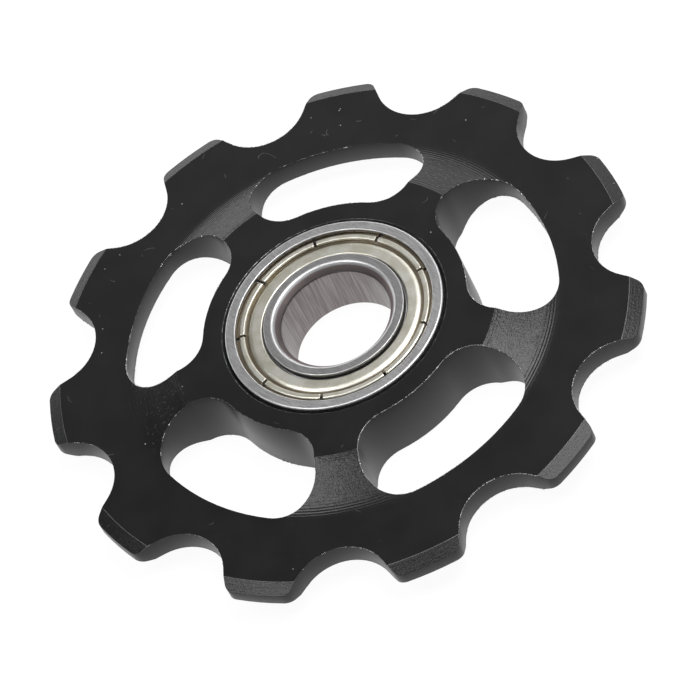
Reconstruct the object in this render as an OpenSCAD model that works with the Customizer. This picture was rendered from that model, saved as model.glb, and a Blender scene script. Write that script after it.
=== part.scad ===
// Derailleur jockey wheel: a one-piece toothed wheel turned and milled from aluminium,
// with a shielded deep-groove ball bearing pressed into its hub.
// The wheel lies flat: +Z runs along the axle and the origin is the middle of the bearing's bore.
// A tooth gap points along -Y.

/* [Chain and teeth] */
// Pitch of the chain that runs on the wheel
chain_pitch = 12.7; // [12:0.1:13.5]
// Number of teeth
teeth = 11; // [10:1:13]
// How far the tooth tips stay inside the pitch circle
tip_drop = 0.71; // [0.3:0.01:1.2]
// How far the centre of each roller seat lies inside the pitch circle
seat_drop = 0.47; // [0:0.01:0.7]
// Radius of each roller seat
seat_r = 3.53; // [3.3:0.01:3.9]
// Angle from the bottom of a seat to where its straight flank begins
seat_half_angle = 54.5; // [48:0.5:60]
// Rounding of the tooth corners, seen from the side of the wheel
tooth_corner_r = 0.8; // [0.2:0.05:1.2]
// Thickness of the toothed rim
rim_t = 1.68; // [1.4:0.02:2.1]
// Radial width of the bevel turned on the tooth tips
tip_bevel_w = 0.93; // [0.1:0.01:1.2]
// Axial depth of the bevel turned on the tooth tips
tip_bevel_h = 0.4; // [0.1:0.01:0.6]

/* [Hub and slope] */
// Thickness of the hub
hub_t = 4.68; // [4:0.02:4.9]
// Width of the flat hub face, from the bearing seat to the top of the slope
hub_face_w = 3.8; // [2.5:0.1:4.6]
// Width of the flat rim face, from the foot of the slope to the tooth roots
rim_face_w = 2.2; // [1.4:0.1:3]
// Radius that blends the slope into the rim face
slope_foot_r = 3.5; // [1:0.1:6]
// Bevel at both mouths of the bearing seat
seat_bevel = 0.25; // [0.05:0.05:0.3]

/* [Windows] */
// Number of windows, and of spokes between them
windows = 5; // [4:1:6]
// Width of a spoke at its narrowest
spoke_w = 3.14; // [2.4:0.02:4]
// Wall of the hub between the bearing seat and a window
hub_wall = 1.68; // [1.2:0.02:2.2]
// Rim left between a window and the tooth roots
rim_wall = 2.63; // [2.2:0.01:3]
// Corner radius of a window next to the rim, as a share of the window's radial width
window_rim_corner = 0.454; // [0.3:0.002:0.47]
// Corner radius of a window next to the hub, as a share of the window's radial width
window_hub_corner = 0.427; // [0.3:0.002:0.44]
// How far the windows are turned from the tooth gap on the centre line
window_turn = 0.7; // [-3:0.1:3]

/* [Bearing rings] */
// Outside diameter of the bearing
bearing_od = 16; // [15.9:0.05:16.5]
// Bore of the bearing
bearing_bore = 8; // [7.6:0.05:8.1]
// Width of the bearing
bearing_w = 5; // [4.9:0.05:5.4]
// Corner rounding on the outside of the outer ring
outer_ring_corner_r = 0.2; // [0.1:0.05:0.3]
// Bevel at the mouths of the bore
bore_bevel = 0.55; // [0.2:0.05:0.6]
// Width of the inner ring's face, as a share of the section between bore and outside
inner_face_share = 0.2875; // [0.26:0.0025:0.3]
// Width of the outer ring's face, as a share of the section between bore and outside
outer_face_share = 0.195; // [0.175:0.0025:0.21]

/* [Balls and cage] */
// Number of balls
ball_count = 10; // [8:1:10]
// Diameter of a ball, as a share of the section between bore and outside
ball_share = 0.5; // [0.475:0.005:0.51]
// Radial clearance between a ball and each raceway
ball_gap = 0.02; // [0.01:0.01:0.04]
// Radius of a raceway groove, as a share of the ball's diameter
groove_share = 0.52; // [0.51:0.005:0.54]
// Depth of a raceway groove, as a share of the ball's diameter
groove_depth_share = 0.2; // [0.15:0.005:0.22]
// Sheet thickness of the cage
cage_t = 0.2; // [0.12:0.01:0.22]
// Radial width of the cage, as a share of the ball's diameter
cage_share = 0.4; // [0.35:0.01:0.45]
// Clearance between a ball and its pocket
pocket_gap = 0.06; // [0.04:0.01:0.1]
// Diameter of a cage rivet
rivet_d = 0.36; // [0.3:0.01:0.4]
// Diameter of a rivet's head
rivet_head_d = 0.62; // [0.5:0.02:0.7]
// Height of a rivet's head
rivet_head_h = 0.14; // [0.08:0.01:0.2]

/* [Shields] */
// Sheet thickness of a shield
shield_t = 0.2; // [0.15:0.01:0.25]
// How far the flat of a shield lies below the faces of the rings
shield_recess = 0.25; // [0.2:0.01:0.35]
// Radial gap between a shield and the inner ring
shield_gap = 0.15; // [0.08:0.01:0.2]
// Width of a shield's flat, as a share of the gap between the two rings' faces
shield_flat_share = 0.507; // [0.45:0.001:0.53]
// How far the rolled rim stands above the flat
bead_rise = 0.07; // [0:0.01:0.12]
// Depth of the groove between the flat and the rolled rim
bead_groove = 0.16; // [0.08:0.01:0.18]
// Number of notches in the rolled rim
notches = 9; // [6:1:12]
// Width of a notch
notch_w = 0.22; // [0.15:0.01:0.3]
// Where the first notch lies, turned from +X
notch_turn = 22.3; // [0:0.1:39.9]
// How far the rim of a shield reaches under the outer ring's lip
lip_hold = 0.08; // [0.04:0.01:0.1]

/* [Fits] */
// Radial clearance drawn between the bearing and its seat, a press fit on the real wheel
press_gap = 0.005; // [0.005:0.005:0.02]
// Clearance between a shield's rim and its groove
shield_seat_gap = 0.02; // [0.01:0.01:0.03]
// Clearance between a rivet and its hole
rivet_gap = 0.01; // [0.01:0.005:0.02]

/* [Hidden] */
$fn = 96;
cut = 1;

pitch_r = chain_pitch / (2 * sin(180 / teeth));
tip_r = pitch_r - tip_drop;
seat_centre_r = pitch_r - seat_drop;
root_r = seat_centre_r - seat_r;
tooth_angle = 360 / teeth;

bearing_r = bearing_od / 2;
bore_r = bearing_bore / 2;
hub_bore_r = bearing_r + press_gap;
hub_z = hub_t / 2;
rim_z = rim_t / 2;
face_z = bearing_w / 2;
slope_top_r = bearing_r + hub_face_w;
slope_foot_end_r = root_r - rim_face_w;

window_angle = 360 / windows;
window_out_r = root_r - rim_wall;
window_in_r = bearing_r + hub_wall;
window_rim_corner_r = window_rim_corner * (window_out_r - window_in_r);
window_hub_corner_r = window_hub_corner * (window_out_r - window_in_r);

section_w = bearing_r - bore_r;
ball_d = section_w * ball_share;
ball_r = ball_d / 2;
ball_circle_r = (bearing_r + bore_r) / 2;
ball_angle = 360 / ball_count;
groove_r = ball_d * groove_share;
groove_depth = ball_d * groove_depth_share;
cage_w = ball_d * cage_share;
inner_shoulder_r = ball_circle_r - ball_r - ball_gap + groove_depth;
outer_shoulder_r = ball_circle_r + ball_r + ball_gap - groove_depth;
inner_groove_centre_r = ball_circle_r - ball_r - ball_gap + groove_r;
outer_groove_centre_r = ball_circle_r + ball_r + ball_gap - groove_r;

inner_land_r = bore_r + section_w * inner_face_share;
lip_r = bearing_r - section_w * outer_face_share;
shield_in_r = inner_land_r + shield_gap;
shield_rim_r = lip_r + lip_hold;
shield_top_z = face_z - shield_recess;
shield_low_z = shield_top_z - bead_groove - shield_t;
lip_z = shield_low_z + shield_t + shield_seat_gap;
bead_top_z = shield_top_z + bead_rise;
flat_end_r = shield_in_r + (lip_r - inner_land_r) * shield_flat_share;
bead_out_r = lip_r - shield_gap;
bead_in_r = (flat_end_r + bead_out_r) / 2;

pocket_r = ball_r + pocket_gap;

function ball_name(k) = str("ball_", k < 9 ? "0" : "", k + 1);
function polar(r, a) = [r * cos(a), r * sin(a)];

// Upper half of a lathe profile, in radius and height, doubled about the middle plane
module both_halves() {
    children();
    mirror([0, 1]) children();
}

// What rounding a profile's upper outer corner takes off
module corner_waste(r, corner) {
    translate(corner - [r, r]) difference() {
        square(r + cut);
        circle(r);
    }
}

// Lathe profile of the wheel: flat hub face, straight slope, blend into the rim face, bevelled tips
module wheel_profile() {
    foot_centre = [slope_foot_end_r, rim_z + slope_foot_r];
    slope_top = [slope_top_r, hub_z];
    to_top = slope_top - foot_centre;
    swing = acos(slope_foot_r / norm(to_top));
    blend_start = foot_centre + polar(slope_foot_r, atan2(to_top[1], to_top[0]) + swing);
    both_halves() difference() {
        polygon([
            [hub_bore_r, -0.1],
            [hub_bore_r, hub_z - seat_bevel],
            [hub_bore_r + seat_bevel, hub_z],
            slope_top,
            blend_start,
            [slope_foot_end_r, rim_z],
            [tip_r - tip_bevel_w, rim_z],
            [tip_r, rim_z - tip_bevel_h],
            [tip_r, -0.1],
        ]);
        translate(foot_centre) circle(slope_foot_r);
    }
}

// One gap between two teeth, opening along +X: a round roller seat and two straight flanks
module tooth_gap() {
    flank = polar(1, 90 - seat_half_angle);
    inward = [-flank[1], flank[0]];
    flank_start = [seat_centre_r, 0] + polar(seat_r, 180 - seat_half_angle);
    round_line = flank_start + tooth_corner_r * inward;
    b = round_line * flank;
    c = round_line * round_line - pow(tip_r - tooth_corner_r, 2);
    round_centre = round_line + (sqrt(b * b - c) - b) * flank;
    flank_out = round_centre - tooth_corner_r * inward + 3 * flank;
    tip_dir = round_centre / norm(round_centre);
    translate([seat_centre_r, 0]) circle(seat_r);
    polygon([
        [seat_centre_r, 0],
        flank_start,
        flank_out,
        [flank_out[0], -flank_out[1]],
        [flank_start[0], -flank_start[1]],
    ]);
    for (side = [0, 1]) mirror([0, side]) difference() {
        polygon([
            round_centre,
            round_centre - 2 * tooth_corner_r * inward,
            round_centre + 2 * tooth_corner_r * (tip_dir - inward),
            round_centre + 2 * tooth_corner_r * tip_dir,
        ]);
        translate(round_centre) circle(tooth_corner_r);
    }
}

// One window, with the centre line of the spoke before it along +X
module window() {
    rim_corner = [
        sqrt(pow(window_out_r - window_rim_corner_r, 2) - pow(spoke_w / 2 + window_rim_corner_r, 2)),
        spoke_w / 2 + window_rim_corner_r,
    ];
    hub_corner = [
        sqrt(pow(window_in_r + window_hub_corner_r, 2) - pow(spoke_w / 2 + window_hub_corner_r, 2)),
        spoke_w / 2 + window_hub_corner_r,
    ];
    rim_a = atan2(rim_corner[1], rim_corner[0]);
    hub_a = atan2(hub_corner[1], hub_corner[0]);
    difference() {
        intersection() {
            circle(window_out_r);
            polygon([
                polar(0.8 * window_in_r, hub_a),
                hub_corner,
                rim_corner,
                polar(1.3 * window_out_r, rim_a),
                polar(1.3 * window_out_r, window_angle - rim_a),
                polar(norm(rim_corner), window_angle - rim_a),
                polar(norm(hub_corner), window_angle - hub_a),
                polar(0.8 * window_in_r, window_angle - hub_a),
            ]);
        }
        circle(window_in_r);
    }
    for (side = [0, 1]) rotate(side * window_angle) mirror([0, side]) {
        translate(rim_corner) circle(window_rim_corner_r);
        translate(hub_corner) circle(window_hub_corner_r);
        polygon([rim_corner, [rim_corner[0], spoke_w / 2], [hub_corner[0], spoke_w / 2], hub_corner]);
    }
}

module through_cut() {
    translate([0, 0, -hub_z - cut]) linear_extrude(hub_t + 2 * cut) children();
}

module toothed_wheel() {
    color([0.13, 0.13, 0.14]) difference() {
        rotate_extrude() wheel_profile();
        for (k = [0:teeth - 1]) rotate(-90 + k * tooth_angle) through_cut() tooth_gap();
        for (k = [0:windows - 1]) rotate(-90 + window_turn + k * window_angle) through_cut() window();
    }
}

module bearing_outer_ring() {
    color([0.6, 0.6, 0.6]) rotate_extrude() difference() {
        both_halves() difference() {
            polygon([
                [outer_shoulder_r, -0.1],
                [outer_shoulder_r, shield_low_z],
                [shield_rim_r + shield_seat_gap, shield_low_z],
                [shield_rim_r + shield_seat_gap, lip_z],
                [lip_r, lip_z + lip_hold],
                [lip_r, face_z],
                [bearing_r, face_z],
                [bearing_r, -0.1],
            ]);
            corner_waste(outer_ring_corner_r, [bearing_r, face_z]);
        }
        translate([outer_groove_centre_r, 0]) circle(groove_r);
    }
}

module bearing_inner_ring() {
    relief_z = shield_top_z - shield_t - shield_gap;
    color([0.55, 0.56, 0.58]) rotate_extrude() difference() {
        both_halves() difference() {
            polygon([
                [bore_r, -0.1],
                [bore_r, face_z],
                [inner_land_r, face_z],
                [inner_land_r, relief_z],
                [inner_shoulder_r, relief_z],
                [inner_shoulder_r, -0.1],
            ]);
            translate([bore_r, face_z]) rotate(45) square(bore_bevel * sqrt(2), center = true);
        }
        translate([inner_groove_centre_r, 0]) circle(groove_r);
    }
}

// Pressed sheet: a flat round the inner ring, a groove, a rolled rim with notches and a foot under the lip
module shield() {
    groove_top_z = shield_top_z - bead_groove;
    difference() {
        rotate_extrude() polygon([
            [shield_in_r, shield_top_z - shield_t],
            [shield_in_r, shield_top_z],
            [flat_end_r, shield_top_z],
            [flat_end_r + bead_groove, groove_top_z],
            [bead_in_r, groove_top_z],
            [bead_in_r + shield_t / 2, bead_top_z],
            [bead_out_r - shield_t / 2, bead_top_z],
            [bead_out_r, bead_top_z - shield_t / 2],
            [bead_out_r, groove_top_z],
            [shield_rim_r, groove_top_z],
            [shield_rim_r, shield_low_z],
            [flat_end_r + bead_groove, shield_low_z],
            [flat_end_r, shield_top_z - shield_t],
        ]);
        for (k = [0:notches - 1]) rotate(notch_turn + k * 360 / notches)
            translate([bead_in_r, -notch_w / 2, shield_low_z - cut]) cube([cut + 1, notch_w, 2 * cut + 1]);
    }
}

module front_shield() {
    color([0.72, 0.7, 0.58]) shield();
}

module rear_shield() {
    color([0.72, 0.7, 0.58]) mirror([0, 0, 1]) shield();
}

// Half of the ribbon cage: a flat ring pressed out into a round pocket over each ball
module cage_half() {
    difference() {
        intersection() {
            union() {
                cylinder(h = cage_t, r = outer_shoulder_r);
                for (k = [0:ball_count - 1]) rotate(k * ball_angle)
                    translate([ball_circle_r, 0, 0]) sphere(pocket_r + cage_t);
            }
            difference() {
                cylinder(h = ball_d, r = ball_circle_r + cage_w / 2);
                translate([0, 0, -cut]) cylinder(h = ball_d + 2 * cut, r = ball_circle_r - cage_w / 2);
            }
        }
        for (k = [0:ball_count - 1]) rotate(k * ball_angle) {
            translate([ball_circle_r, 0, 0]) sphere(pocket_r);
            rotate(ball_angle / 2) translate([ball_circle_r, 0, -cut])
                cylinder(h = 2 * cut, d = rivet_d + 2 * rivet_gap);
        }
    }
}

module cage_front_half() {
    color([0.5, 0.5, 0.52]) cage_half();
}

module cage_rear_half() {
    color([0.5, 0.5, 0.52]) mirror([0, 0, 1]) cage_half();
}

module rivet() {
    cylinder(h = 2 * cage_t, d = rivet_d, center = true);
    for (side = [0, 1]) mirror([0, 0, side]) translate([0, 0, cage_t]) cylinder(h = rivet_head_h, d = rivet_head_d);
}

module cage_rivets() {
    color([0.62, 0.62, 0.64]) for (k = [0:ball_count - 1])
        rotate((k + 0.5) * ball_angle) translate([ball_circle_r, 0, 0]) rivet();
}

module ball(k) {
    color([0.75, 0.76, 0.78]) rotate(k * ball_angle) translate([ball_circle_r, 0, 0]) sphere(ball_r);
}

toothed_wheel();
bearing_outer_ring();
bearing_inner_ring();
front_shield();
rear_shield();
cage_front_half();
cage_rear_half();
cage_rivets();
for (k = [0:ball_count - 1]) ball(k);
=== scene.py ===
"""Looks of a derailleur jockey wheel: black anodised toothed wheel, ground bearing rings, plated shields.

Sizes are in millimetres and turned to metres by MM.  The wheel lies flat, with +Z up the axle.
"""

import math

import bmesh
import bpy
from mathutils import Matrix, Vector


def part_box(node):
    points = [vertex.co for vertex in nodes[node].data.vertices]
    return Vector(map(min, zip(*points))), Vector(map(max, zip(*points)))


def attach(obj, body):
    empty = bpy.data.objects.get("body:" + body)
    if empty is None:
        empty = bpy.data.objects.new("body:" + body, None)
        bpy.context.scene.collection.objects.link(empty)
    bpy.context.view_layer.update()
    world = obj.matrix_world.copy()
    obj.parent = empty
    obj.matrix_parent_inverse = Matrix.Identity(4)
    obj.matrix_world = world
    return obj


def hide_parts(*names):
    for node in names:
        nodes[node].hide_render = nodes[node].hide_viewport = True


MM = 0.001

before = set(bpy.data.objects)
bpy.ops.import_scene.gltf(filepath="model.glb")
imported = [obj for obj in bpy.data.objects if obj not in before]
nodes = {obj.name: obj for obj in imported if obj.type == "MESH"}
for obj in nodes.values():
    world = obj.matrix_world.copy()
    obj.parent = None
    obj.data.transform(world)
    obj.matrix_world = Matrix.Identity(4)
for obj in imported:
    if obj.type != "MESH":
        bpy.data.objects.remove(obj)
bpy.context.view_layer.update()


# Sizes that the solids also have

TEETH = 11
CHAIN_PITCH = 12.7
PITCH_R = CHAIN_PITCH / (2 * math.sin(math.pi / TEETH))
SEAT_CENTRE_R = PITCH_R - 0.47
SEAT_R = 3.53
ROOT_R = SEAT_CENTRE_R - SEAT_R

BEARING_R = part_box("bearing_outer_ring")[1].x / MM
FACE_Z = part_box("bearing_outer_ring")[1].z / MM
HUB_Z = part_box("toothed_wheel")[1].z / MM
SLOPE_TOP_R = BEARING_R + 3.8
SLOPE_FOOT_R = ROOT_R - 2.2
SLOPE_FOOT_ROUND = 3.5
RIM_Z = 0.84
TIP_R = PITCH_R - 0.71
TIP_BEVEL_W = 0.93
TIP_BEVEL_H = 0.4

BORE_R = 4.0
BORE_BEVEL = 0.55
SECTION_W = BEARING_R - BORE_R
INNER_LAND_R = BORE_R + 0.2875 * SECTION_W
LIP_R = BEARING_R - 0.195 * SECTION_W
BALLS = 10
BALL_D = SECTION_W / 2
BALL_CIRCLE_R = (BORE_R + BEARING_R) / 2
RACE_ROUND = 0.52 * BALL_D
RACE_DEPTH = 0.2 * BALL_D
BALL_GAP = 0.02
INNER_SHOULDER_R = BALL_CIRCLE_R - BALL_D / 2 - BALL_GAP + RACE_DEPTH
OUTER_SHOULDER_R = BALL_CIRCLE_R + BALL_D / 2 + BALL_GAP - RACE_DEPTH
INNER_RACE_R = BALL_CIRCLE_R - BALL_D / 2 - BALL_GAP + RACE_ROUND
OUTER_RACE_R = BALL_CIRCLE_R + BALL_D / 2 + BALL_GAP - RACE_ROUND

SHEET_T = 0.2
SHIELD_GAP = 0.15
SHIELD_RECESS = 0.25
GROOVE_DEPTH = 0.16
LIP_HOLD = 0.08
FOOT_PLAY = 0.02
SHIELD_IN_R = INNER_LAND_R + SHIELD_GAP
SHIELD_RIM_R = LIP_R + LIP_HOLD
SHIELD_TOP_Z = FACE_Z - SHIELD_RECESS
SHIELD_LOW_Z = SHIELD_TOP_Z - GROOVE_DEPTH - SHEET_T
GROOVE_FLOOR_Z = SHIELD_LOW_Z + SHEET_T
LIP_Z = GROOVE_FLOOR_Z + FOOT_PLAY
FLAT_END_R = SHIELD_IN_R + 0.507 * (LIP_R - INNER_LAND_R)
BEAD_OUT_R = LIP_R - SHIELD_GAP
RELIEF_Z = SHIELD_TOP_Z - SHEET_T - SHIELD_GAP
NOTCHES = 9
NOTCH_W = 0.22
NOTCH_TURN = math.radians(22.3)


# Finer sizes that only the dressed part has

EDGE_ROUND = 0.05
SLOPE_END_R = SLOPE_FOOT_R - 0.22
ROLL_R = FLAT_END_R - 0.165
ROLL_ROUND = 0.66
GROOVE_R = FLAT_END_R + 0.035
CURL_IN_R = GROOVE_R + 0.16
CURL_OUT_R = BEAD_OUT_R - 0.07
CURL_TOP_Z = SHIELD_TOP_Z + 0.07
LATHE_STEPS = 240
LEVEL = 0.9999


# The camera, at the photograph's viewing angle

PHOTO_SIZE = 680
VIEW_TURN = 22.75
VIEW_HEIGHT = 50.2
VIEW_ROLL = -28.6
VIEW_DISTANCE = 351.9
FOCAL_PX = 5024
AXLE_PX = (344.1, 334.0)
SENSOR_W = 36


def heading(turn, height):
    """The direction at so many degrees round from +X and so many up."""
    a, h = math.radians(turn), math.radians(height)
    return Vector((math.cos(a) * math.cos(h), math.sin(a) * math.cos(h), math.sin(h)))


def add_camera():
    towards = heading(VIEW_TURN - 90, VIEW_HEIGHT)
    level = Vector((0, 0, 1)).cross(towards).normalized()
    steep = towards.cross(level)
    roll = math.radians(VIEW_ROLL)
    right = math.cos(roll) * level + math.sin(roll) * steep
    up = -math.sin(roll) * level + math.cos(roll) * steep
    px = VIEW_DISTANCE / FOCAL_PX
    aside = (PHOTO_SIZE / 2 - AXLE_PX[0]) * px
    above = (AXLE_PX[1] - PHOTO_SIZE / 2) * px
    place = right * aside + up * above + towards * VIEW_DISTANCE
    lens = bpy.data.cameras.new("camera")
    lens.sensor_width = SENSOR_W
    lens.lens = FOCAL_PX / PHOTO_SIZE * SENSOR_W
    lens.clip_start = 0.01
    camera = bpy.data.objects.new("camera", lens)
    turned = Matrix((right, up, towards)).transposed()
    camera.matrix_world = Matrix.Translation(place * MM) @ turned.to_4x4()
    bpy.context.scene.collection.objects.link(camera)
    bpy.context.scene.camera = camera


add_camera()


# Shader maths


class Value:
    """A shader or geometry socket that can be written in a sum."""

    def __init__(self, tree, socket):
        self.tree = tree
        self.socket = socket

    def apply(self, operation, *terms):
        node = self.tree.nodes.new("ShaderNodeMath")
        node.operation = operation
        for place, term in zip(node.inputs, terms):
            if isinstance(term, Value):
                self.tree.links.new(term.socket, place)
            else:
                place.default_value = term
        return Value(self.tree, node.outputs[0])

    def __add__(self, other):
        return self.apply("ADD", self, other)

    def __radd__(self, other):
        return self.apply("ADD", other, self)

    def __sub__(self, other):
        return self.apply("SUBTRACT", self, other)

    def __rsub__(self, other):
        return self.apply("SUBTRACT", other, self)

    def __mul__(self, other):
        return self.apply("MULTIPLY", self, other)

    def __rmul__(self, other):
        return self.apply("MULTIPLY", other, self)

    def __truediv__(self, other):
        return self.apply("DIVIDE", self, other)

    def size(self):
        return self.apply("ABSOLUTE", self)

    def wave(self):
        return self.apply("SINE", self)

    def root(self):
        return self.apply("SQRT", self)

    def most(self, other):
        return self.apply("MAXIMUM", self, other)


class Tree:
    """Adds nodes to one node tree."""

    def __init__(self, tree, family):
        self.tree = tree
        self.family = family

    def node(self, kind, settings=None, outlet=0, **sockets):
        """Adds a node and gives one outlet of it.

        Its settings are set first, and then its sockets, by name or as _number.
        """
        made = self.tree.nodes.new(kind if "Node" in kind else self.family + kind)
        for name, setting in (settings or {}).items():
            setattr(made, name, setting)
        for name, value in sockets.items():
            key = int(name[1:]) if name[0] == "_" else name.replace("_", " ")
            if isinstance(value, Value):
                self.tree.links.new(value.socket, made.inputs[key])
            else:
                made.inputs[key].default_value = value
        return Value(self.tree, made.outputs[outlet])


class Finish(Tree):
    """A material under construction."""

    def __init__(self, name):
        self.material = bpy.data.materials.new(name)
        self.material.use_nodes = True
        super().__init__(self.material.node_tree, "ShaderNode")
        self.tree.nodes.clear()

    def end(self, shader):
        """Puts a shader on the surface and gives the material."""
        end = self.tree.nodes.new("ShaderNodeOutputMaterial")
        self.tree.links.new(shader.socket, end.inputs["Surface"])
        return self.material


class PartFinish(Finish):
    """A finish of the part, which knows its places round the axle in millimetres."""

    def __init__(self, name):
        super().__init__(name)
        x, y, z = self.split(self.node("TexCoord", outlet="Object"))
        self.x, self.y, self.z = x / MM, y / MM, z / MM
        self.r = (self.x * self.x + self.y * self.y).root()
        self.upright = self.split(self.node("TexCoord", outlet="Normal"))[2].size()

    def split(self, vector):
        node = self.tree.nodes.new("ShaderNodeSeparateXYZ")
        self.tree.links.new(vector.socket, node.inputs[0])
        return [Value(self.tree, outlet) for outlet in node.outputs]

    def above(self, value, edge, soft):
        """0 below the edge and 1 above it."""
        return self.node(
            "MapRange", {"interpolation_type": "SMOOTHSTEP"},
            Value=value, From_Min=edge - soft, From_Max=edge + soft,
        )

    def below(self, value, edge, soft):
        return 1 - self.above(value, edge, soft)

    def within(self, value, low, high, soft):
        return self.above(value, low, soft) * self.below(value, high, soft)

    def on_faces(self):
        """1 on the faces that look up or down the axle, and 0 on the walls."""
        return self.above(self.upright, 0.6, 0.1)

    def grain(self, per_mm, detail=2.0, shift=0.0):
        """Noise with so many features to the millimetre, the same in every direction."""
        at = self.node("CombineXYZ", X=self.x + shift, Y=self.y, Z=self.z)
        return self.node("TexNoise", Vector=at, Scale=per_mm, Detail=detail)

    def streaks(self, along_turn, per_mm, height=0.0, detail=2.0):
        """Noise drawn out round the axle, with so many streaks to the millimetre of radius."""
        across = self.r * per_mm + self.z * height
        round_x = self.x / self.r * along_turn
        round_y = self.y / self.r * along_turn
        at = self.node("CombineXYZ", X=round_x, Y=round_y, Z=across)
        return self.node("TexNoise", Vector=at, Scale=1.0, Detail=detail)

    def hatch(self, per_mm, along):
        """Noise drawn out along one slanting line over the flat, with so many lines to the millimetre."""
        slant = 0.7
        across_x = (self.x + self.y) * slant * per_mm
        along_y = (self.y - self.x) * slant * along
        at = self.node("CombineXYZ", X=across_x, Y=along_y)
        return self.node("TexNoise", Vector=at, Scale=1.0, Detail=2.0)

    def hairlines(self, per_mm, width, share):
        """Short curved scratches: thin level lines of one noise, kept where another noise is high."""
        off_line = (self.grain(per_mm, detail=0.5, shift=37.0) - 0.5).size()
        kept = self.above(self.grain(per_mm * 1.7, detail=1.0, shift=11.0), share, 0.02)
        return self.below(off_line, width, width * 0.6) * kept

    def specks(self, per_mm, size, share):
        """Grains of dust: one round dot in each kept cell of a flat pattern."""
        at = self.node("CombineXYZ", X=self.x, Y=self.y)
        cells = {"voronoi_dimensions": "2D"}
        apart = self.node("TexVoronoi", cells, Vector=at, Scale=per_mm)
        pick = self.split(self.node("TexVoronoi", cells, outlet="Color", Vector=at, Scale=per_mm))[0]
        dot = self.below(apart, size * per_mm, size * per_mm * 0.5)
        return dot * self.above(pick, 1 - share, 0.001)

    def blend(self, share, first, second):
        return self.node("Mix", {"data_type": "RGBA"}, outlet=2, Factor=share, _6=first, _7=second)

    def relief(self, height, distance):
        """Normals of a surface whose height, from 0 to 1, stands for so many millimetres."""
        return self.node("Bump", Height=height, Distance=distance * MM)

    def surface(self, **sockets):
        return self.end(self.node("BsdfPrincipled", **sockets))


# Finishes


def anodised_black():
    """Satin black oxide: turned rings on the slopes and tip bevels, dust, hairlines, fine mottling and
    painted glints on the slopes.
    """
    ring_pitch, rings_from_r, rings_to_r = 0.2, 15.0, 15.7
    f = PartFinish("black_anodised")
    face = f.on_faces()
    wall = 1 - face
    slope = f.above(f.r, SLOPE_TOP_R, 0.06) * f.below(f.r, SLOPE_END_R - 0.5, 0.35) * face
    foot = f.above(f.r, rings_from_r, 0.7) * f.below(f.r, rings_to_r, 0.3) * face
    brow = f.within(f.r, SLOPE_TOP_R - 0.05, SLOPE_TOP_R + 0.45, 0.05) * slope
    bevel = f.above(f.r, TIP_R - TIP_BEVEL_W + 0.02, 0.03) * f.within(f.upright, 0.5, 0.97, 0.02)

    rings = (f.r * (math.tau / ring_pitch) + f.streaks(1.0, 0.4) * 1.2).wave()
    fine_rings = f.streaks(6.0, 12.0, detail=3.0) - 0.5
    speckle = f.streaks(20.0, 9.0, detail=3.0) * 0.55 + f.grain(5.5, detail=3.0, shift=21.0) * 0.45
    bevel_grain = f.grain(6.0, detail=3.0, shift=5.0)
    mottle = f.grain(7.0, detail=4.0)
    cloud = f.grain(0.35, detail=2.0)
    dust = f.specks(0.42, 0.05, 0.06).most(f.specks(0.9, 0.04, 0.035)) * face
    marks = f.hairlines(0.55, 0.003, 0.68) * face * (1 - slope)
    # Painted glints: pale dots in the slopes' base colour that stand in for light caught by the grain.
    painted_glints = f.above(f.grain(5.0, detail=1.0, shift=51.0), 0.68, 0.03) * slope

    height = (
        mottle * 0.1
        + rings * (foot * 0.62 + brow * 0.4)
        + fine_rings * slope * 0.4
        + (speckle - 0.5) * slope * (1 - foot * 0.7) * 3.0
        + (fine_rings * 1.2 + bevel_grain * 1.6) * bevel
        + marks * 0.35
        + dust
    )
    oxide = f.blend(f.above(cloud, 0.5, 0.2), (0.006, 0.006, 0.0063, 1), (0.0085, 0.0085, 0.009, 1))
    black = f.blend(wall, oxide, (0.022, 0.022, 0.0225, 1))
    # The pale colour carries real dust and scratches, and the painted glints on the slopes.
    pale = (dust * 0.45).most(marks * 0.13).most(painted_glints * 0.06)
    return f.surface(
        Base_Color=f.blend(pale, black, (0.5, 0.5, 0.5, 1)),
        Roughness=0.25 + mottle * 0.06 + cloud * 0.04 + bevel * 0.04 + wall * 0.04,
        Specular_IOR_Level=0.4,
        Normal=f.relief(height, 0.012),
    )


def worn_edge():
    """The rounded edges: oxide worn off here and there, so bare aluminium shows in broken lines.

    A tooth's tip is worn only along the inner edge of its bevel, in a faint whole line.
    """
    f = PartFinish("worn_edge_of_oxide")
    patches = f.above(f.grain(0.2, detail=1.0, shift=9.0), 0.5, 0.06)
    chips = f.above(f.grain(4.0, detail=2.0), 0.5, 0.06)
    tips = f.above(f.r, TIP_R - TIP_BEVEL_W - 0.15, 0.05)
    inner_line = tips * f.below(f.r, TIP_R - 0.25, 0.05)
    bare = ((patches * 0.6 + 0.06) * chips * (1 - tips)).most(inner_line * 0.14)
    return f.surface(
        Base_Color=f.blend(bare, (0.02, 0.02, 0.021, 1), (0.6, 0.6, 0.61, 1)),
        Roughness=0.42 - bare * 0.1,
        Metallic=bare,
        Normal=f.relief(f.grain(14.0), 0.01),
    )


def bare_burr():
    """Slivers of aluminium turned up at the milled edges."""
    f = PartFinish("bright_burr")
    return f.surface(
        Base_Color=f.blend(f.grain(9.0), (0.62, 0.62, 0.63, 1), (0.85, 0.85, 0.86, 1)),
        Roughness=0.4,
        Metallic=0.6,
    )


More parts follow.
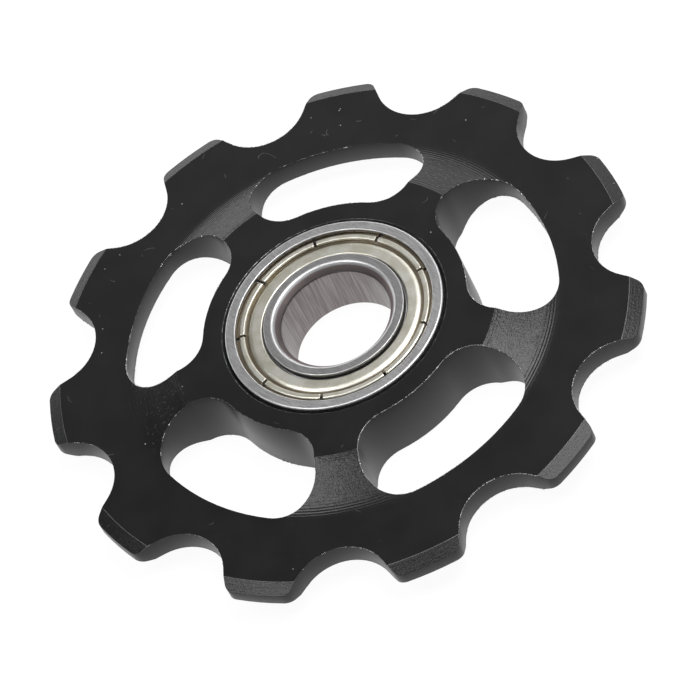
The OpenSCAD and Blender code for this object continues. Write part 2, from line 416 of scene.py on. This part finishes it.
def ground_steel():
    """Bearing rings: grey steel, ground round the axle, scratched across, with a streaky honed bore, and
    painted shade on the shoulder under the shields.
    """
    f = PartFinish("ground_ring_steel")
    face = f.on_faces()
    wall = 1 - face
    lay = f.streaks(5.0, 22.0, detail=3.0)
    scratch = f.hatch(13.0, 0.9)
    hone = f.streaks(34.0, 0.0, height=0.35, detail=3.0)
    cross = f.grain(11.0, detail=3.0)
    inner = f.below(f.r, BALL_CIRCLE_R, 0.05)
    edge = f.within(f.upright, 0.3, 0.93, 0.08)
    bore = f.below(f.r, BORE_R + 0.05, 0.04)
    mouth = f.within(f.r, BORE_R + 0.05, BORE_R + BORE_BEVEL - 0.2, 0.06)
    # Painted shade: the outer ring's shoulder deep behind the shield is darkened in the base colour, for
    # the shade seen through the notches.
    behind_shield = f.within(f.r, OUTER_SHOULDER_R - 0.1, LIP_R - 0.01, 0.03)
    crevice_painted_shade = behind_shield * f.below(f.z.size(), FACE_Z - 0.3, 0.05)

    tone = (lay * 0.35 + scratch * 0.45) * face + hone * wall + cross * 0.25
    dull = f.blend(inner, (0.27, 0.267, 0.267, 1), (0.215, 0.213, 0.213, 1))
    light = f.blend(inner, (0.425, 0.425, 0.43, 1), (0.305, 0.303, 0.303, 1))
    ground = f.blend(f.above(tone, 0.52, 0.13), dull, light)
    polished = f.blend(edge, ground, (0.85, 0.85, 0.86, 1))
    honed = f.blend(f.above(hone, 0.5, 0.25), (0.16, 0.135, 0.137, 1), (0.28, 0.26, 0.26, 1))
    clean = f.blend(mouth, f.blend(bore, polished, honed), (0.34, 0.29, 0.285, 1))
    return f.surface(
        Base_Color=f.blend(crevice_painted_shade * 0.9, clean, (0.03, 0.025, 0.02, 1)),
        Metallic=1.0,
        Roughness=0.36 + lay * face * 0.12 + cross * 0.06 - hone * wall * 0.12,
        Normal=f.relief((lay + scratch * 0.7) * face + hone * wall * 0.8 + cross * 0.3, 0.006),
    )


def zinc_sheet():
    """Shields: thin sheet with a yellowish zinc plating, a little cloudy, with dirt and painted shade
    darkening the groove and the gap outside the curls.
    """
    f = PartFinish("yellowish_zinc_sheet")
    cloud = f.grain(1.1, detail=3.0)
    lay = f.streaks(9.0, 7.0, detail=2.0)
    pits = f.above(f.grain(7.0, detail=1.0, shift=3.0), 0.7, 0.03)
    deep = f.below(f.z.size(), SHIELD_TOP_Z - 0.1, 0.05)
    in_groove = f.within(f.r, GROOVE_R - 0.12, CURL_IN_R + 0.02, 0.05)
    outside_curl = f.above(f.r, CURL_OUT_R + 0.01, 0.02)
    # Dirt and painted shade: the deep groove and the sheet outside the curls are darkened in the base
    # colour, partly for the shade that falls there.
    dirt_and_painted_shade = in_groove.most(outside_curl) * deep
    zinc = f.blend(f.above(cloud, 0.5, 0.22), (0.63, 0.605, 0.505, 1), (0.73, 0.715, 0.65, 1))
    pitted = f.blend(pits * 0.35, zinc, (0.25, 0.23, 0.16, 1))
    return f.surface(
        Base_Color=f.blend(dirt_and_painted_shade * 0.85, pitted, (0.12, 0.085, 0.045, 1)),
        Metallic=1.0,
        Roughness=0.34 + cloud * 0.08 + pits * 0.15,
        Normal=f.relief(lay * 0.6 + cloud * 0.6 - pits * 0.4, 0.008),
    )


def pressed_cage():
    """Cage and rivets: bright pressed strip, slightly greasy."""
    f = PartFinish("pressed_cage_strip")
    smear = f.grain(1.6, detail=3.0)
    return f.surface(
        Base_Color=f.blend(smear, (0.42, 0.41, 0.39, 1), (0.6, 0.6, 0.6, 1)),
        Metallic=1.0,
        Roughness=0.26 + smear * 0.15,
        Normal=f.relief(f.streaks(8.0, 9.0), 0.004),
    )


def polished_ball():
    """Balls: lapped steel under a film of grease."""
    f = PartFinish("lapped_ball_steel")
    film = f.grain(2.0, detail=2.0)
    return f.surface(
        Base_Color=f.blend(film, (0.66, 0.66, 0.67, 1), (0.78, 0.79, 0.8, 1)),
        Metallic=1.0,
        Roughness=0.08 + film * 0.08,
        Normal=f.relief(film, 0.001),
    )


anodised = anodised_black()
worn = worn_edge()
ring_steel = ground_steel()
shield_sheet = zinc_sheet()
cage_strip = pressed_cage()
ball_steel = polished_ball()
burr_metal = bare_burr()


# Shapes


def add_piece(name, mesh, body, slot, replaced, *materials):
    """Puts a mesh in the scene as a piece of a body, in place of a solid if one is named."""
    piece = bpy.data.objects.new(name, mesh)
    bpy.context.scene.collection.objects.link(piece)
    for material in materials:
        mesh.materials.append(material)
    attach(piece, body)
    if replaced:
        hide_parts(replaced)


def rounded(corners, steps=4):
    """A closed profile of (radius, height, rounding) corners, each rounded by an arc.

    A corner stays as it is where its rounding is 0 or its two sides are nearly in line.
    """
    points = []
    for k, (r, z, rounding) in enumerate(corners):
        here = Vector((r, z))
        before = (Vector(corners[k - 1][:2]) - here).normalized()
        after = (Vector(corners[(k + 1) % len(corners)][:2]) - here).normalized()
        half = before.angle(after) / 2
        if rounding == 0 or half > math.radians(89):
            points.append(here)
            continue
        reach = rounding / math.tan(half)
        centre = here + (before + after).normalized() * rounding / math.sin(half)
        first = here + before * reach - centre
        last = here + after * reach - centre
        swing = first.angle_signed(last)
        for step in range(steps + 1):
            turned = first.copy()
            turned.rotate(Matrix.Rotation(-swing * step / steps, 2))
            points.append(centre + turned)
    return points


def shade(mesh):
    """Smooth shading that stops at creases and round level faces, so those stay flat to the eye."""
    crease, least_tilt = math.radians(40), 0.004
    mesh.shade_smooth()
    mesh.set_sharp_from_angle(angle=crease)
    faces = bmesh.new()
    faces.from_mesh(mesh)
    for edge in faces.edges:
        tilts = sorted(abs(face.normal.z) for face in edge.link_faces)
        if tilts[-1] > LEVEL and tilts[-1] - tilts[0] > least_tilt:
            edge.smooth = False
    faces.to_mesh(mesh)
    faces.free()


def lathe_mesh(name, profile, start=0.0, sweep=math.tau, steps=LATHE_STEPS):
    """Turns a closed profile round the axle, a full turn or a capped part of one."""
    full = sweep == math.tau
    rows = steps if full else steps + 1
    shape = bmesh.new()
    rings = []
    for row in range(rows):
        a = start + sweep * row / steps
        out_x, out_y = math.cos(a), math.sin(a)
        rings.append([shape.verts.new((p.x * MM * out_x, p.x * MM * out_y, p.y * MM)) for p in profile])
    for row in range(steps):
        here, there = rings[row], rings[(row + 1) % rows]
        for k in range(len(profile)):
            n = (k + 1) % len(profile)
            shape.faces.new((here[k], there[k], there[n], here[n]))
    if not full:
        shape.faces.new(rings[0])
        shape.faces.new(rings[-1][::-1])
    bmesh.ops.recalc_face_normals(shape, faces=shape.faces)
    mesh = bpy.data.meshes.new(name)
    shape.to_mesh(mesh)
    shape.free()
    shade(mesh)
    return mesh


def merged_copy(node):
    """The node's solid as one closed shell with large flat faces."""
    shell = bmesh.new()
    shell.from_mesh(nodes[node].data)
    bmesh.ops.remove_doubles(shell, verts=shell.verts, dist=0.0005 * MM)
    bmesh.ops.dissolve_limit(
        shell, angle_limit=math.radians(0.05), verts=shell.verts, edges=shell.edges,
    )
    return shell


def sharp_edges(shell, degrees):
    return [e for e in shell.edges if e.calc_face_angle(0) > math.radians(degrees)]


def round_edges(shell, edges, size, **settings):
    """Gives the edges a small round of two strips."""
    bmesh.ops.bevel(
        shell, geom=edges, offset=size * MM, offset_type="OFFSET",
        segments=2, profile=0.5, affect="EDGES", clamp_overlap=True, **settings,
    )


def steepest_lean():
    """The sine of the slope's tilt outwards, which makes it tangent to the round at its foot."""
    reach = Vector((SLOPE_TOP_R - SLOPE_FOOT_R, HUB_Z - RIM_Z - SLOPE_FOOT_ROUND))
    touch = math.atan2(reach.y, reach.x) + math.acos(SLOPE_FOOT_ROUND / reach.length)
    return -math.cos(touch)


def lathe_normals(mesh):
    """True normals for the turned faces of the wheel, whose rounds are coarse in the solid."""
    slope = steepest_lean()
    bevel = TIP_BEVEL_H / math.hypot(TIP_BEVEL_H, TIP_BEVEL_W)
    least_turned = 0.85
    as_shaded = (0, 0, 0)
    normals = []
    for face in mesh.polygons:
        tilt = face.normal.z
        for k in face.vertices:
            at = mesh.vertices[k].co
            r = at.xy.length / MM
            if face.material_index == 1 or abs(tilt) < least_turned:
                normals.append(as_shaded)
                continue
            if abs(tilt) > LEVEL:
                lean = 0
            elif r > SLOPE_FOOT_R + 1:
                lean = bevel
            else:
                lean = min(slope, max(0, (SLOPE_END_R - r) / SLOPE_FOOT_ROUND))
            outward = at.xy.normalized() * lean
            normals.append((outward.x, outward.y, math.copysign(math.sqrt(1 - lean * lean), tilt)))
    mesh.normals_split_custom_set(normals)


def add_wheel():
    """The toothed wheel with every machined edge broken by a small round, which carries the wear."""
    shell = merged_copy("toothed_wheel")
    machined = sharp_edges(shell, 15)
    round_edges(shell, machined, EDGE_ROUND, material=1)
    mesh = bpy.data.meshes.new("wheel_disc")
    shell.to_mesh(mesh)
    shell.free()
    shade(mesh)
    lathe_normals(mesh)
    # The facets of the slope's round are no machined edges, so their strips keep the oxide.
    least_tilt, furthest_r = 0.95, SLOPE_FOOT_R + 1
    for face in mesh.polygons:
        if abs(face.normal.z) > least_tilt and face.center.xy.length < furthest_r * MM:
            face.material_index = 0
    add_piece("wheel_disc", mesh, "wheel", "black_anodised", "toothed_wheel", anodised, worn)


def milled_rims():
    """The sharp upper and lower edges of the windows and tooth gaps, as lines."""
    least_r, furthest_r = BEARING_R + 1, TIP_R - TIP_BEVEL_W
    shell = merged_copy("toothed_wheel")
    kept = []
    for edge in sharp_edges(shell, 50):
        tilts = sorted(abs(face.normal.z) for face in edge.link_faces)
        wall_meets_face = tilts[0] < 0.1 and tilts[1] > 0.8
        middle = (edge.verts[0].co + edge.verts[1].co) / 2
        if wall_meets_face and least_r < middle.xy.length / MM < furthest_r:
            kept.append(edge)
    places = {}
    for edge in kept:
        for corner in edge.verts:
            places.setdefault(corner, len(places))
    lines = bpy.data.meshes.new("milled_rims")
    lines.from_pydata([v.co.copy() for v in places], [[places[v] for v in e.verts] for e in kept], [])
    shell.free()
    return lines


# Geometry node trees


class Recipe(Tree):
    """A geometry node tree with named inputs, used once on a piece and then applied."""

    def __init__(self, name, **sizes):
        self.group = bpy.data.node_groups.new(name, "GeometryNodeTree")
        super().__init__(self.group, "GeometryNode")
        sockets = self.group.interface
        sockets.new_socket("Geometry", in_out="INPUT", socket_type="NodeSocketGeometry")
        sockets.new_socket("Geometry", in_out="OUTPUT", socket_type="NodeSocketGeometry")
        self.sizes = sizes
        self.keys = {}
        for label, value in sizes.items():
            kind = "NodeSocketInt" if isinstance(value, int) else "NodeSocketFloat"
            socket = sockets.new_socket(label, in_out="INPUT", socket_type=kind)
            self.keys[label] = socket.identifier
        inlet = self.tree.nodes.new("NodeGroupInput")
        self.given = Value(self.tree, inlet.outputs[0])
        self.named = {label: Value(self.tree, inlet.outputs[label]) for label in sizes}

    def end(self, geometry, material):
        whole = self.node("RealizeInstances", Geometry=geometry)
        dressed = self.node("SetMaterial", Geometry=whole, Material=material)
        outlet = self.tree.nodes.new("NodeGroupOutput")
        self.tree.links.new(dressed.socket, outlet.inputs[0])

    def result(self, name, mesh):
        """Runs the tree on a mesh and gives a plain mesh."""
        base = bpy.data.objects.new(name + "_base", mesh)
        bpy.context.scene.collection.objects.link(base)
        modifier = base.modifiers.new("recipe", "NODES")
        modifier.node_group = self.group
        for label, value in self.sizes.items():
            modifier[self.keys[label]] = value
        seen = base.evaluated_get(bpy.context.evaluated_depsgraph_get())
        made = bpy.data.meshes.new_from_object(seen)
        made.name = name
        base.modifiers.clear()
        bpy.data.objects.remove(base)
        return made


def ring_recipe(count, first_turn, material):
    """Repeats a shape round the axle."""
    recipe = Recipe("ring_of_pieces", count=count, first_turn=first_turn)
    points = recipe.node("Points", Count=recipe.named["count"])
    index = recipe.node("InputIndex")
    step = recipe.node("ShaderNodeMath", {"operation": "DIVIDE"}, _0=math.tau, _1=recipe.named["count"])
    turn = index * step + recipe.named["first_turn"]
    aim = recipe.node("ShaderNodeCombineXYZ", Z=turn)
    copies = recipe.node("InstanceOnPoints", Points=points, Instance=recipe.given, Rotation=aim)
    recipe.end(copies, material)
    return recipe


def burr_recipe(spacing, size, kept_above, material, seed):
    """Small slivers along lines, in broken runs, kept where a coarse and a fine noise add up high."""
    recipe = Recipe("burrs_along_an_edge", spacing=spacing, size=size, kept_above=kept_above)
    curve = recipe.node("MeshToCurve", Mesh=recipe.given)
    by_length = {"mode": "LENGTH"}
    points = recipe.node("CurveToPoints", by_length, Curve=curve, Length=recipe.named["spacing"])
    place = recipe.node("InputPosition")
    runs = recipe.node("ShaderNodeTexNoise", Vector=place, Scale=0.16 / MM, Detail=1.0)
    gaps = recipe.node("ShaderNodeTexNoise", Vector=place, Scale=3.0 / MM, Detail=1.0)
    height = runs + gaps * 0.6
    less_than = {"operation": "LESS_THAN"}
    low = recipe.node("FunctionNodeCompare", less_than, _0=height, _1=recipe.named["kept_above"])
    some = recipe.node("DeleteGeometry", Geometry=points, Selection=low)
    sliver = recipe.node("MeshIcoSphere", Radius=recipe.named["size"], Subdivisions=1)
    vector = {"data_type": "FLOAT_VECTOR"}
    full_turns, least, most = (math.tau,) * 3, (0.3, 0.3, 0.2), (1.6, 0.9, 0.6)
    turn = recipe.node("FunctionNodeRandomValue", vector, Max=full_turns, Seed=seed)
    stretch = recipe.node("FunctionNodeRandomValue", vector, Min=least, Max=most, Seed=seed + 1)
    chips = recipe.node("InstanceOnPoints", Points=some, Instance=sliver, Rotation=turn, Scale=stretch)
    recipe.end(chips, material)
    return recipe


def add_burrs():
    recipe = burr_recipe(spacing=0.11 * MM, size=0.052 * MM, kept_above=0.87, material=burr_metal, seed=7)
    add_piece("edge_burrs", recipe.result("edge_burrs", milled_rims()), "wheel", "black_anodised", None)


# The bearing, dressed


def race(centre_r, side, reach, steps=16):
    """Corners of a raceway groove, from its upper end to its lower, on one side of the groove's centre."""
    corners = []
    for k in range(steps + 1):
        a = reach - 2 * reach * k / steps
        corners.append((centre_r + side * RACE_ROUND * math.cos(a), RACE_ROUND * math.sin(a), 0))
    return corners


def with_lower_half(upper, groove):
    """The corners of a ring's upper half, its raceway, and the same corners below."""
    return upper + groove + [(r, -z, rounding) for r, z, rounding in upper[::-1]]


def add_outer_ring():
    reach = math.acos((OUTER_SHOULDER_R - OUTER_RACE_R) / RACE_ROUND)
    seat_r = SHIELD_RIM_R + FOOT_PLAY
    upper = [
        (LIP_R, FACE_Z, 0.08), (LIP_R, LIP_Z + LIP_HOLD, 0.02), (seat_r, LIP_Z, 0.02),
        (seat_r, SHIELD_LOW_Z, 0.02), (OUTER_SHOULDER_R, SHIELD_LOW_Z, 0.04),
    ]
    wall = [(BEARING_R, -FACE_Z, 0.15), (BEARING_R, FACE_Z, 0.15)]
    corners = with_lower_half(upper, race(OUTER_RACE_R, 1, reach)) + wall
    mesh = lathe_mesh("outer_ring", rounded(corners))
    add_piece("outer_ring", mesh, "wheel", "ring_steel", "bearing_outer_ring", ring_steel)


def add_inner_ring():
    reach = math.acos((INNER_RACE_R - INNER_SHOULDER_R) / RACE_ROUND)
    mouth_r = BORE_R + BORE_BEVEL - 0.02
    upper = [
        (BORE_R, FACE_Z - BORE_BEVEL, 0.3), (mouth_r, FACE_Z, 0.3), (INNER_LAND_R, FACE_Z, 0.07),
        (INNER_LAND_R, RELIEF_Z, 0.02), (INNER_SHOULDER_R, RELIEF_Z, 0.04),
    ]
    corners = with_lower_half(upper, race(INNER_RACE_R, -1, reach))
    mesh = lathe_mesh("inner_ring", rounded(corners))
    add_piece("inner_ring", mesh, "inner_ring", "ring_steel", "bearing_inner_ring", ring_steel)


def shield_disc():
    """The shield's flat, its rolled edges and the floor of its groove, in section."""
    bottom = SHIELD_TOP_Z - SHEET_T
    floor_end_r = CURL_IN_R + FOOT_PLAY
    return rounded([
        (SHIELD_IN_R, bottom, 0.04), (SHIELD_IN_R, SHIELD_TOP_Z, 0.12),
        (ROLL_R, SHIELD_TOP_Z, ROLL_ROUND), (GROOVE_R, GROOVE_FLOOR_Z, 0.02),
        (floor_end_r, GROOVE_FLOOR_Z, 0.01), (floor_end_r, SHIELD_LOW_Z, 0.01),
        (GROOVE_R - 0.1, SHIELD_LOW_Z, 0.08), (GROOVE_R - 0.3, bottom, 0.08),
    ], steps=8)


def shield_curl():
    """One crimped length of the rolled rim and its foot under the ring's lip, in section."""
    return rounded([
        (CURL_IN_R, SHIELD_LOW_Z, 0.02), (CURL_IN_R, CURL_TOP_Z, 0.12),
        (CURL_OUT_R, CURL_TOP_Z, 0.14), (CURL_OUT_R, GROOVE_FLOOR_Z, 0.03),
        (SHIELD_RIM_R, GROOVE_FLOOR_Z, 0.05), (SHIELD_RIM_R, SHIELD_LOW_Z, 0.05),
    ], steps=6)


def upside_down(profile):
    return [Vector((p.x, -p.y)) for p in profile]


def round_ends(mesh, size):
    """Rounds the edges of the two cut ends of a part turn."""
    shell = bmesh.new()
    shell.from_mesh(mesh)
    ends = {face for face in shell.faces if len(face.verts) > 4}
    cut = [e for e in shell.edges if len(ends.intersection(e.link_faces)) == 1]
    round_edges(shell, cut, size)
    shell.to_mesh(mesh)
    shell.free()
    shade(mesh)


def add_shield(name, turned=list):
    """A shield as a disc and its crimped lengths, with the section left upright or turned over."""
    half_notch = NOTCH_W / 2 / BEAD_OUT_R
    sweep = math.tau / NOTCHES - 2 * half_notch
    disc = lathe_mesh(name + "_disc", turned(shield_disc()))
    curl = lathe_mesh(name + "_curl", turned(shield_curl()), half_notch, sweep, steps=24)
    round_ends(curl, 0.03)
    curls = ring_recipe(NOTCHES, NOTCH_TURN, shield_sheet).result(name + "_curls", curl)
    add_piece(name + "_disc", disc, "wheel", "shield_steel", name, shield_sheet)
    add_piece(name + "_curls", curls, "wheel", "shield_steel", name)


def dress(name, material):
    """Gives a solid that stays as it is a better material."""
    slots = nodes[name].data.materials
    slots.clear()
    slots.append(material)


add_wheel()
add_burrs()
add_outer_ring()
add_inner_ring()
add_shield("front_shield")
add_shield("rear_shield", upside_down)
for name in ("cage_front_half", "cage_rear_half", "cage_rivets"):
    dress(name, cage_strip)
for k in range(BALLS):
    dress(f"ball_{k + 1:02d}", ball_steel)


# Floor and light

FLOOR_HALF = 4000
FLOOR_DROP = 0.005
FLOOR_GLOW = 1.06
WORLD_GLOW = 0.07
WHITE = (1, 1, 1, 1)


def add_floor():
    """A pale floor that takes the part's shadow and is white to the camera and in glossy metal."""
    half, level = FLOOR_HALF * MM, (-FACE_Z - FLOOR_DROP) * MM
    corners = [(-half, -half, level), (half, -half, level), (half, half, level), (-half, half, level)]
    mesh = bpy.data.meshes.new("floor")
    mesh.from_pydata(corners, [], [(0, 1, 2, 3)])
    floor = bpy.data.objects.new("floor", mesh)
    bpy.context.scene.collection.objects.link(floor)
    finish = Finish("pale_floor")
    mirrored = finish.node("LightPath", outlet="Is Glossy Ray")
    seen = finish.node("LightPath", outlet="Is Camera Ray").most(mirrored)
    shaded = finish.node("BsdfDiffuse", Color=(0.8, 0.8, 0.8, 1))
    glow = finish.node("Emission", Color=WHITE, Strength=FLOOR_GLOW)
    mesh.materials.append(finish.end(finish.node("MixShader", _0=seen * 0.9, _1=shaded, _2=glow)))


def add_world():
    world = bpy.data.worlds.new("studio")
    world.use_nodes = True
    background = world.node_tree.nodes["Background"]
    background.inputs["Color"].default_value = WHITE
    background.inputs["Strength"].default_value = WORLD_GLOW
    bpy.context.scene.world = world


def add_softbox(name, turn, height, wide, tall, glow, distance=600):
    """A rectangular lamp that faces the axle.

    From the axle it is seen at a turn from the camera's right and at a height, so wide and so tall,
    all in degrees.  Its glow is its brightness whatever its size.
    """
    lamp = bpy.data.lights.new(name, "AREA")
    lamp.shape = "RECTANGLE"
    lamp.size = 2 * distance * math.tan(math.radians(wide / 2)) * MM
    lamp.size_y = 2 * distance * math.tan(math.radians(tall / 2)) * MM
    lamp.energy = glow * math.pi * lamp.size * lamp.size_y
    away = heading(turn + VIEW_TURN, height)
    box = bpy.data.objects.new(name, lamp)
    box.location = away * distance * MM
    box.rotation_euler = away.to_track_quat("Z", "Y").to_euler()
    bpy.context.scene.collection.objects.link(box)


add_floor()
add_world()
add_softbox("right_softbox", turn=2, height=68, wide=42, tall=30, glow=6.8, distance=300)
add_softbox("left_softbox", turn=172, height=65, wide=24, tall=22, glow=6.4)
add_softbox("front_panel", turn=78, height=30, wide=64, tall=40, glow=0.33, distance=110)
add_softbox("low_right_screen", turn=50, height=28, wide=26, tall=22, glow=1.9)
add_softbox("back_screen", turn=102, height=7, wide=88, tall=13, glow=2.2)

bpy.context.scene.view_settings.view_transform = "Standard"
